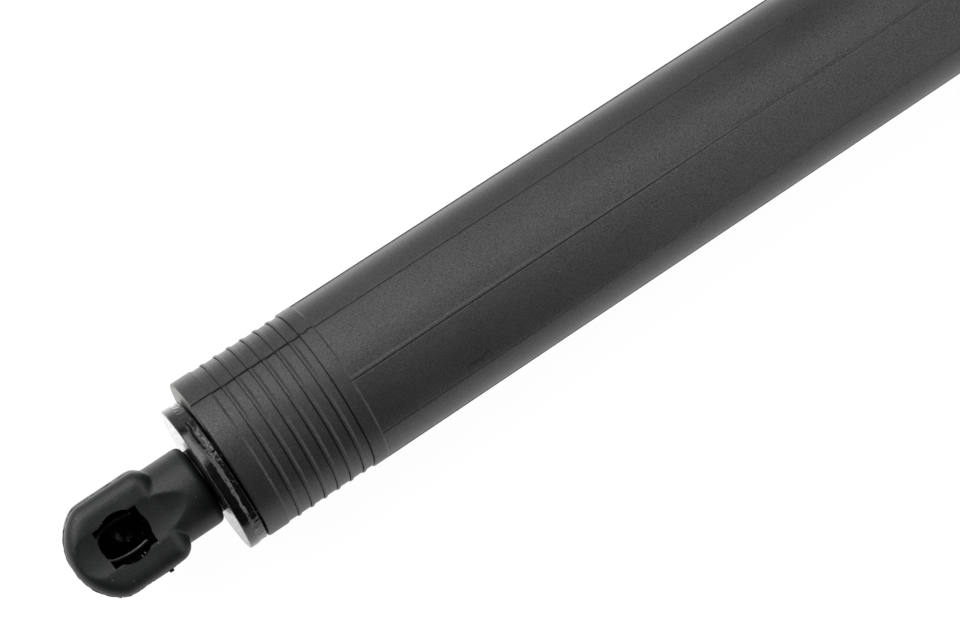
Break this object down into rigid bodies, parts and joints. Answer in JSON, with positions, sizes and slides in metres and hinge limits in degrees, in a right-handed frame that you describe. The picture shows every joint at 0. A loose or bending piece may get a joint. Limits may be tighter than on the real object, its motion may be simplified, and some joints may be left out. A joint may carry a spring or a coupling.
{
  "type": "tailgate gas strut",
  "caption": "Telescoping gas strut with a coil helper spring inside a loose ribbed cover tube, and a moulded ball socket at each end.",
  "frame": {"origin": "centre of the ball seat at the rod end, with the strut at full extension", "axes": "+X along the strut from the rod end to the far end, +Z out of the mouths of both ball sockets"},
  "size_m": [0.5378, 0.0396, 0.038],
  "materials": {
    "socket_nylon": "moulded, soft satin",
    "clip_steel": "drawn spring wire",
    "flange_paint": "gloss black paint over a weld",
    "cover_plastic": "fine moulded grain",
    "bush_plastic": "moulded, satin",
    "liner_plastic": "natural, waxy",
    "felt": "pressed felt",
    "spring_paint": "dip coated spring wire",
    "zinc_steel": "zinc plated",
    "rod_chrome": "ground and nitrided or plated",
    "tube_paint": "satin black paint",
    "seal_rubber": "moulded",
    "guide_brass": "turned",
    "piston_alloy": "die cast and turned"
  },
  "bodies": {
    "cylinder": {"pressure_tube": "tube_paint", "rod_guide": "guide_brass", "guide_sealing_ring": "seal_rubber", "rod_seal": "seal_rubber", "seal_backup_ring": "liner_plastic", "rattle_liner": "liner_plastic", "seat_collar": "bush_plastic", "inner_tube": "tube_paint", "tube_plug": "zinc_steel", "rear_flange": "flange_paint", "far_lock_washer": "zinc_steel", "far_ball_socket": "socket_nylon", "far_socket_clip": "clip_steel"},
    "spring": {"slip_washer": "liner_plastic", "helper_spring": "spring_paint"},
    "rod": {"piston_rod": "rod_chrome", "piston_washer": "zinc_steel", "piston": "piston_alloy", "piston_ring": "liner_plastic", "damping_disc": "zinc_steel", "rivet_washer": "zinc_steel", "bump_stop": "seal_rubber", "spring_plate": "zinc_steel", "end_flange": "flange_paint", "rod_lock_washer": "zinc_steel", "rod_ball_socket": "socket_nylon", "rod_socket_clip": "clip_steel"},
    "cover": {"cover_sleeve": "cover_plastic", "mouth_bush": "bush_plastic", "dust_wiper": "felt"}
  },
  "joints": [
    {"name": "rod_turn", "type": "hinge", "parent": "cylinder", "child": "spring", "pos_m": [0.29805, 0, 0], "axis": [1, 0, 0], "continuous": true},
    {"name": "rod_slide", "type": "slide", "parent": "spring", "child": "rod", "axis": [1, 0, 0], "range_m": [0, 0.18], "stiffness_N_per_m": 800, "springref_m": -0.62, "deforming": ["helper_spring"]},
    {"name": "cover_turn", "type": "hinge", "parent": "rod", "child": "cover", "pos_m": [0.29805, 0, 0], "axis": [1, -0.0066, 0], "continuous": true}
  ]
}
